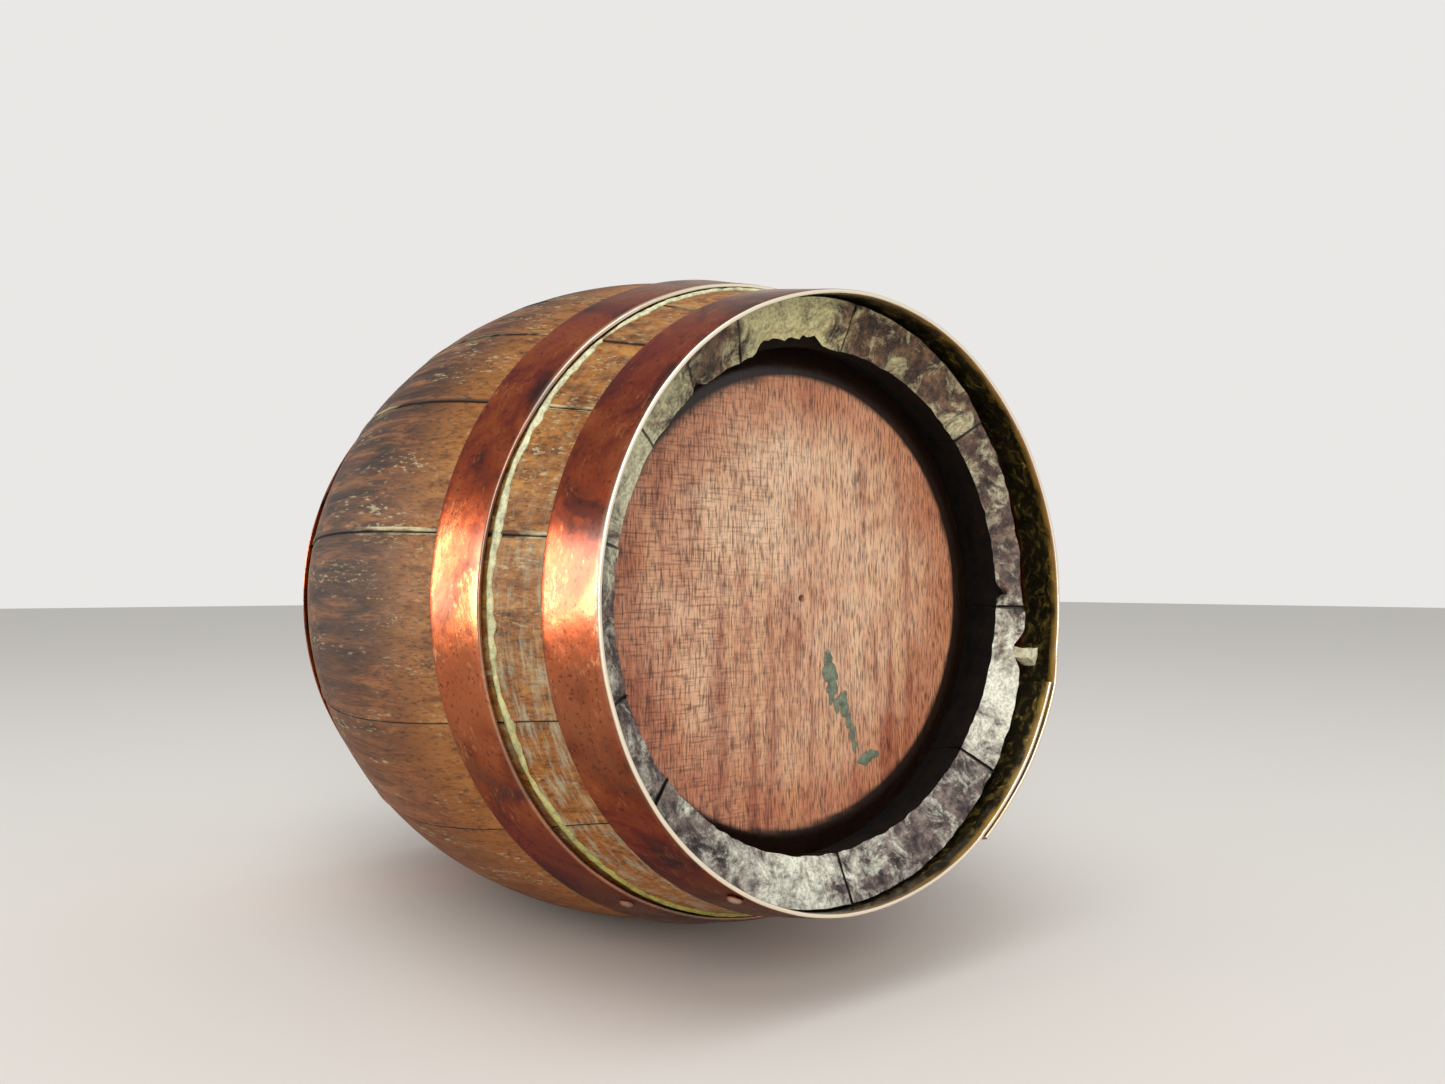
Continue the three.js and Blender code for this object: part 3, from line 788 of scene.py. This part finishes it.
def make_smear(finish):
    """A thin smear of green wax on the front head, below its middle, as a few joined blots."""
    blots = [  # right of the middle, above it, width and height, in millimetres
        (11.2, -19.8, 2.6, 5.0),
        (11.8, -24.0, 4.0, 7.5),
        (12.8, -28.6, 3.0, 4.5),
        (12.4, -32.0, 1.6, 4.5),
        (14.8, -34.6, 1.8, 4.0),
        (17.6, -32.6, 2.4, 5.0),
        (18.2, -36.6, 2.6, 4.0),
        (19.8, -40.2, 1.6, 4.5),
        (21.4, -44.0, 1.6, 5.5),
        (22.4, -48.0, 1.4, 4.0),
        (27.0, -52.8, 4.4, 3.4),
        (30.0, -51.6, 4.6, 2.6),
    ]
    bm = bmesh.new()
    for number, (right, above, wide, tall) in enumerate(blots):
        spot = Matrix.Translation((right * MM, -HEAD_FACE_Y + 0.16 * MM, AXIS_HEIGHT + above * MM))
        shape = Matrix.Diagonal((wide * MM * 0.75, 0.35 * MM, tall * MM * 0.55, 1))
        made = bmesh.ops.create_uvsphere(bm, u_segments=28, v_segments=14, radius=1, matrix=spot @ shape)
        for vert in made["verts"]:
            push = 0.5 * noise.noise(vert.co * 420 + Vector((number, 0, 0)))
            centre = spot.translation
            vert.co.x = centre.x + (vert.co.x - centre.x) * (1 + push)
            vert.co.z = centre.z + (vert.co.z - centre.z) * (1 + push)
    materials = [verdigris_crust(finish, "green_wax", ("#7d8672", "#6f7a66"))]
    return finish_mesh(bm, "green_wax_smear", materials)


class KEG_OT_heads(bpy.types.Operator):
    """Makes the two heads that sit in the croze, and the green smear on the front one"""

    bl_idname = "keg.heads"
    bl_label = "Heads"

    def execute(self, context):
        sizes, finish = context.scene.keg_sizes, context.scene.keg_finish
        materials = [shared("planed_red_oak", planed_head_oak, finish)]
        make_head(sizes, "front_head_board", "front_head", -1, materials)
        make_head(sizes, "rear_head_board", "rear_head", 1, materials)
        make_smear(finish)
        return {"FINISHED"}


# ---- Hoops ----


def hoop_specs(sizes):
    """Name, end of the keg, distance from that end and width of each hoop."""
    return [
        ("front_chime_hoop", -1, 0.0, sizes.chime_hoop_width),
        ("front_quarter_hoop", -1, sizes.quarter_hoop_start, sizes.quarter_hoop_width),
        ("rear_quarter_hoop", 1, sizes.quarter_hoop_start, sizes.quarter_hoop_width),
        ("rear_chime_hoop", 1, 0.0, sizes.chime_hoop_width),
    ]


def lift_along(sizes, along):
    """How far the strip is lifted off the single layer, where it runs over its own start."""
    rise = (sizes.lap_span + sizes.lap_ramp - along) / sizes.lap_ramp
    return min(max(rise, 0), 1) * (sizes.hoop_thickness + sizes.hoop_clearance)


def make_hoop(sizes, name, end, start, width, seed, materials):
    near, far = HALF_LENGTH - start, HALF_LENGTH - start - width
    low, high = sorted((end * near, end * far))
    free_edge = end * near

    def inner(y):
        return strip_radius(sizes, start, width, y) + sizes.hoop_clearance

    def outer(y):
        return inner(y) + sizes.hoop_thickness * 1.02

    outline = rounded_strip(inner, outer, low, high, 0.5 * MM, 12)
    span = math.tau + sizes.lap_span
    bm = unrolled(outline, span, 330)
    layers = ("rubbed", "lip_inside", "golden", "haze")
    rubbed, inside, golden, haze = (bm.verts.layers.float.new(layer) for layer in layers)
    for vert in bm.verts:
        along, y, radius = vert.co
        around = sizes.lap_start + along
        here = math.degrees(around) % 360
        under_lap = along > math.tau
        from_edge = abs(y - free_edge)
        on_outside = radius > inner(y) + 0.5 * sizes.hoop_thickness
        # bright edges: worn, and painted as glints; on the quarter hoops mostly near the top, where light
        # falls
        shine = 1 if start == 0 else 0.15 + 0.85 * hump(here, 95, 65)
        reach = (0.45 if on_outside else 0.8 + 0.7 * wander(around, 0, 12 * MM, seed + 6)) * MM
        reach += 0.7 * MM * hump(here, 112, 45) * (start > 0)
        vert[rubbed] = shine * smooth(1.25 - from_edge / max(reach, 0.2 * MM))
        lip = start == 0 and from_edge < sizes.hoop_lip + 8 * MM and not on_outside
        vert[inside] = (1 - vert[rubbed]) if lip else 0
        streaky = 1 + 0.6 * wander(around, 0, 7 * MM, seed + 7)
        vert[golden] = smooth(1.3 - from_edge / (2.2 * MM * streaky)) if lip else 0
        # painted reflection: a paler band low at the left of each hoop
        vert[haze] = 0.5 * hump(here, 198, 22) * smooth(0.9 + wander(around, y, 9 * MM, seed + 8))
        thin = 0.3 * MM * smooth(1 - from_edge / (3 * MM))
        radius += thin * (-0.5 if on_outside else 0.5)
        radius += lift_along(sizes, along)
        if not under_lap:
            tilt = 1 - from_edge / width
            radius += 0.22 * MM * (1 + wander(around, y, 45 * MM, seed)) * tilt
            radius += 0.1 * MM * wander(around, y, 12 * MM, seed + 4)
            if name == "front_quarter_hoop":
                radius += 1.3 * MM * hump(here, 205, 62) * tilt**2
            if name == "front_chime_hoop":
                radius += 0.7 * MM * (hump(here, 75, 40) + hump(here, 336, 26)) * tilt**2
        wavy = 0.3 * MM * (1 + wander(around, 0, 30 * MM, seed + 9))
        shift = wavy if start == 0 else wavy - 0.3 * MM
        vert.co.y = y - end * shift * (1 - from_edge / width)
        vert.co.z = radius
    rolled_up(bm, sizes.lap_start)
    return finish_mesh(bm, "copper_" + name, materials, [name])


def make_bead(sizes, name, edge, outward, seed, widest, materials):
    """A crumbling bead of verdigris on the staves, beside a hoop's edge; outward is +1 towards +Y."""
    # shares of its height and of its width
    section = [(-0.3, 0), (0.5, 0), (0.8, 0.2), (1, 0.45), (0.9, 0.7), (0.4, 1), (-0.3, 1)]
    bm = unrolled(section, math.tau, 720)
    olive = bm.verts.layers.float.new("olive")
    for vert in bm.verts:
        around, across, height = vert.co
        ripple = 0.5 * wander(around, 0, 14 * MM, seed) + 0.35 * wander(around, 0, 3.5 * MM, seed + 2)
        wide = max(widest * (0.72 + ripple), 0.15 * MM)
        y = edge + outward * (0.1 * MM + across * wide)
        tall = min(0.8 * MM, 0.4 * wide + 0.15 * MM) * (1 + 0.3 * wander(around, y, 2.5 * MM, seed + 3))
        vert[olive] = smooth(1.15 - across * wide / (0.9 * MM) + 0.3 * wander(around, 0, 6 * MM, seed + 5))
        vert.co.y = y
        vert.co.z = bent_radius(sizes, y) + height * tall
    rolled_up(bm, 0)
    closed_ring(bm)
    return finish_mesh(bm, name, materials)


class KEG_OT_hoops(bpy.types.Operator):
    """Makes the lapped copper hoops and the verdigris along their edges"""

    bl_idname = "keg.hoops"
    bl_label = "Hoops"

    def execute(self, context):
        sizes, finish = context.scene.keg_sizes, context.scene.keg_finish
        copper = [shared("patinated_hammered_copper", patinated_copper, finish)]
        crust = [shared("verdigris", verdigris_crust, finish)]
        for seed, (name, end, start, width) in enumerate(hoop_specs(sizes)):
            make_hoop(sizes, name, end, start, width, 11 + 3 * seed, copper)
            if start > 0:
                edge = end * (HALF_LENGTH - start)
                make_bead(sizes, f"verdigris_{name}", edge, end, 31 + seed, 3.0 * MM, crust)
            else:
                edge = end * (HALF_LENGTH - width)
                make_bead(sizes, f"verdigris_{name}", edge, -end, 41 + seed, 1.0 * MM, crust)
        return {"FINISHED"}


# ---- Rivets and nails ----


def seat(sizes, around, start, width, y, lift):
    """The matrix that turns +Z to point out of a hoop at an angle and a y, lifted off the staves."""
    near, far = HALF_LENGTH - start, HALF_LENGTH - start - width
    slope = (bent_radius(sizes, far) - bent_radius(sizes, near)) / width
    tilt = math.atan(slope) * (1 if y > 0 else -1)
    out = Vector((math.cos(around) * math.cos(tilt), math.sin(tilt), math.sin(around) * math.cos(tilt)))
    radius = strip_radius(sizes, start, width, y)
    spot = Vector((radius * math.cos(around), y, AXIS_HEIGHT + radius * math.sin(around))) + out * lift
    return Matrix.Translation(spot) @ out.to_track_quat("Z", "Y").to_matrix().to_4x4()


def make_pin(node, place, head, shank, tail, seed, materials):
    """A domed head over a shank that runs down from the origin, and a flattened tail where one shows."""
    (head_radius, head_height), (shank_radius, shank_length) = head, shank
    dome = [(0, 1), (0.3, 0.97), (0.62, 0.8), (0.86, 0.45), (0.98, 0.12), (0.95, 0)]
    points = [(wide * head_radius, tall * head_height) for wide, tall in dome]
    points += [(shank_radius, 0), (shank_radius, -shank_length)]
    if tail:
        points += [(0.75 * head_radius, -shank_length), (0.7 * head_radius, -shank_length - 0.5 * MM)]
        points.append((0, -shank_length - 0.7 * MM))
    else:
        points.append((0, -shank_length))
    bm = turned(points, 28)
    rubbed = bm.verts.layers.float.new("rubbed")
    bm.verts.layers.float.new("lip_inside")
    for vert in bm.verts:
        dent = noise.noise(vert.co * 600 + Vector((seed, 0, 0)))
        # the dome's top is worn paler, half way to the painted glint colour
        vert[rubbed] = 0.5 * smooth(vert.co.z / head_height)
        if vert.co.z > 0:
            vert.co.z += 0.12 * head_height * dent
            vert.co.x *= 1 - 0.05 * dent
    bmesh.ops.transform(bm, matrix=place, verts=bm.verts)
    return finish_mesh(bm, "copper_" + node, materials, [node])


class KEG_OT_rivets(bpy.types.Operator):
    """Makes the lap rivets, the chime hoops' lip rivets and the quarter hoops' nails"""

    bl_idname = "keg.rivets"
    bl_label = "Rivets and nails"

    def execute(self, context):
        sizes, finish = context.scene.keg_sizes, context.scene.keg_finish
        copper = [shared("patinated_hammered_copper", patinated_copper, finish)]
        one_layer = sizes.hoop_clearance + sizes.hoop_thickness
        two_layers = one_layer + sizes.hoop_clearance + sizes.hoop_thickness
        for number, (hoop, end, start, width) in enumerate(hoop_specs(sizes)):
            prefix = hoop.replace("_hoop", "")
            on_wood = max(start, sizes.hoop_lip)
            rivet_y = end * (HALF_LENGTH - (on_wood + start + width) / 2)
            for count, degrees in enumerate(LAP_RIVETS, start=1):
                node = f"{prefix}_rivet_{count}"
                place = seat(sizes, math.radians(degrees), start, width, rivet_y, two_layers + 0.35 * MM)
                head, shank = (sizes.rivet_radius, 1.4 * MM), (1.7 * MM, 3.6 * MM)
                make_pin(node, place, head, shank, False, number * 5 + count, copper)
            kind = "nail" if start > 0 else "lip_rivet"
            node = f"{prefix}_{kind}"
            tack_y = end * (HALF_LENGTH - (start + 7 * MM if start > 0 else 5.3 * MM))
            place = seat(sizes, sizes.tack_angle, start, width, tack_y, one_layer + 0.35 * MM)
            shank_length = 11 * MM if start > 0 else sizes.hoop_thickness + 0.7 * MM
            head, shank = (sizes.tack_radius, 1.1 * MM), (1.2 * MM, shank_length)
            make_pin(node, place, head, shank, start == 0, number * 5 + 3, copper)
        return {"FINISHED"}


# ---- Bung and splinter ----


class KEG_OT_bung(bpy.types.Operator):
    """Makes the tapered bung"""

    bl_idname = "keg.bung"
    bl_label = "Bung"

    def execute(self, context):
        sizes, finish = context.scene.keg_sizes, context.scene.keg_finish
        top, tip = sizes.bung_proud, sizes.bung_proud - sizes.bung_length

        def radius(z):
            return sizes.bung_radius - 0.1 * MM + BUNG_TAPER * z

        points = [(0, top - 0.15 * MM), (0.35, top - 0.1 * MM), (0.7, top), (0.88, top - 0.15 * MM)]
        points = [(share * radius(top), z) for share, z in points]
        points += [(0.97 * radius(top), top - 0.7 * MM), (radius(top - 1.6 * MM), top - 1.6 * MM)]
        points += [(radius(z), z) for z in (top - 6 * MM, top - 12 * MM, tip + 1.5 * MM)]
        points += [(radius(tip) - 0.8 * MM, tip + 0.3 * MM), (radius(tip) - 2 * MM, tip), (0, tip)]
        bm = turned(points, 72)
        bmesh.ops.transform(bm, matrix=bung_place(sizes), verts=bm.verts)
        materials = [shared("turned_oak", turned_bung_oak, finish)]
        finish_mesh(bm, "oak_bung", materials, ["bung"], body="bung")
        return {"FINISHED"}


class KEG_OT_splinter(bpy.types.Operator):
    """Makes the splinter of a stave's end that is left between the worn end and the hoop"""

    bl_idname = "keg.splinter"
    bl_label = "Splinter"

    def execute(self, context):
        finish = context.scene.keg_finish
        bm = bmesh.new()
        around = math.radians(346.5)
        out = Vector((math.cos(around), 0, math.sin(around)))
        across = Vector((-math.sin(around), 0, math.cos(around)))
        middle = Vector((0, -HALF_LENGTH + 8.5 * MM, AXIS_HEIGHT)) + out * 84 * MM
        frame_of = Matrix((out, Vector((0, 1, 0)), across)).transposed().to_4x4()
        bmesh.ops.create_cube(bm, size=1, matrix=Matrix.Diagonal((8 * MM, 7 * MM, 4.6 * MM, 1)))
        bmesh.ops.subdivide_edges(bm, edges=bm.edges, cuts=5, use_grid_fill=True)
        for vert in bm.verts:
            share = vert.co.x / (8 * MM) + 0.5
            vert.co.z *= 0.55 + 0.95 * abs(share - 0.2)
            vert.co.y *= 1 - 0.45 * share * (vert.co.y < 0)
            spot = vert.co * 300
            push = [noise.noise(spot + Vector((0, 0, 5.3 * axis))) for axis in range(3)]
            vert.co += 0.7 * MM * Vector(push)
        bmesh.ops.transform(bm, matrix=Matrix.Translation(middle) @ frame_of, verts=bm.verts)
        materials = [verdigris_crust(finish, "lime_crusted_oak", ("#e8e5c9", "#d8d4b0"))]
        finish_mesh(bm, "stave_end_splinter", materials)
        return {"FINISHED"}


# ---- Floor, lamps and camera ----


def studio_world(scene):
    """A pale room for the camera and for reflections, and a softer light for the rest."""
    world = bpy.data.worlds.new("studio")
    scene.world = world
    world.use_nodes = True
    tree = world.node_tree
    tree.nodes.clear()
    path = add(tree, "LightPath").outputs
    seen = add(tree, "Math", path["Is Camera Ray"], path["Is Glossy Ray"], operation="MAXIMUM")
    shown = add(tree, "Math", seen, path["Is Transmission Ray"], operation="MAXIMUM")
    tint = add(tree, "MixRGB", shown, grey(0.62), "#e9e8e6")
    back = add(tree, "Background", tint, 1.0)
    add(tree, "OutputWorld", back)


def add_lamp(name, place, aim, wide, tall, watts, tint):
    lamp = bpy.data.lights.new(name, "AREA")
    lamp.shape = "RECTANGLE"
    lamp.size, lamp.size_y = wide, tall
    lamp.energy = watts
    lamp.color = linear(tint)[:3]
    holder = bpy.data.objects.new(name, lamp)
    holder.location = place
    holder.rotation_euler = (Vector(aim) - Vector(place)).to_track_quat("-Z", "Y").to_euler()
    bpy.context.scene.collection.objects.link(holder)
    return holder


class KEG_OT_stage(bpy.types.Operator):
    """Makes the floor, the lamps, the background and the camera"""

    bl_idname = "keg.stage"
    bl_label = "Stage"

    def execute(self, context):
        scene, finish = context.scene, context.scene.keg_finish
        bm = bmesh.new()
        bmesh.ops.create_grid(bm, x_segments=1, y_segments=1, size=6)
        material, tree, shader, _ = blank("pale_matt_floor")
        wire(tree, shader, {"Base Color": finish.floor, "Roughness": 1.0, "Specular IOR Level": 0.0})
        floor = new_object("floor", bm, [material])
        studio_world(scene)
        middle = (0, 0, AXIS_HEIGHT)
        window = add_lamp("window", (-1.15, 0.5, 0.24), (0, -0.08, AXIS_HEIGHT), 0.42, 0.46, 18, "#fff8ec")
        window.visible_diffuse = False  # it is there for the copper to mirror, and leaves the floor alone
        add_lamp("ceiling", (-0.5, -0.5, 1.5), middle, 1.0, 1.0, 8, "#ffffff")
        add_lamp("room", (-0.85, -1.35, 0.65), middle, 1.0, 1.0, 13, "#fffaf2")
        camera = bpy.data.cameras.new("camera")
        camera.sensor_width, camera.lens = 36, CAMERA_LENS
        camera.clip_start, camera.clip_end = 0.01, 50
        holder = bpy.data.objects.new("camera", camera)
        holder.location = CAMERA_PLACE
        holder.rotation_euler = CAMERA_AIM.to_track_quat("-Z", "Y").to_euler()
        scene.collection.objects.link(holder)
        scene.camera = holder
        scene.view_settings.view_transform = "Standard"
        return {"FINISHED"}


class KEG_PT_panel(bpy.types.Panel):
    """Lists the keg's operators, sizes and colours in the sidebar"""

    bl_idname = "KEG_PT_panel"
    bl_label = "Coopered Keg"
    bl_space_type = "VIEW_3D"
    bl_region_type = "UI"
    bl_category = "Keg"

    def draw(self, context):
        for operator in OPERATORS:
            self.layout.operator(operator.bl_idname)
        for group in (context.scene.keg_sizes, context.scene.keg_finish):
            for name in group.__annotations__:
                self.layout.prop(group, name)


OPERATORS = (
    KEG_OT_stage,
    KEG_OT_staves,
    KEG_OT_heads,
    KEG_OT_hoops,
    KEG_OT_rivets,
    KEG_OT_bung,
    KEG_OT_splinter,
)
CLASSES = (KegSizes, KegFinish, *OPERATORS, KEG_PT_panel)


def register():
    for cls in CLASSES:
        bpy.utils.register_class(cls)
    bpy.types.Scene.keg_sizes = bpy.props.PointerProperty(type=KegSizes)
    bpy.types.Scene.keg_finish = bpy.props.PointerProperty(type=KegFinish)


def unregister():
    del bpy.types.Scene.keg_finish
    del bpy.types.Scene.keg_sizes
    for cls in reversed(CLASSES):
        bpy.utils.unregister_class(cls)


def main():
    register()
    for operator in OPERATORS:
        if getattr(bpy.ops.keg, operator.bl_idname.split(".")[1])() != {"FINISHED"}:
            raise RuntimeError(f"{operator.bl_label} was not made")


if __name__ == "__main__":
    main()
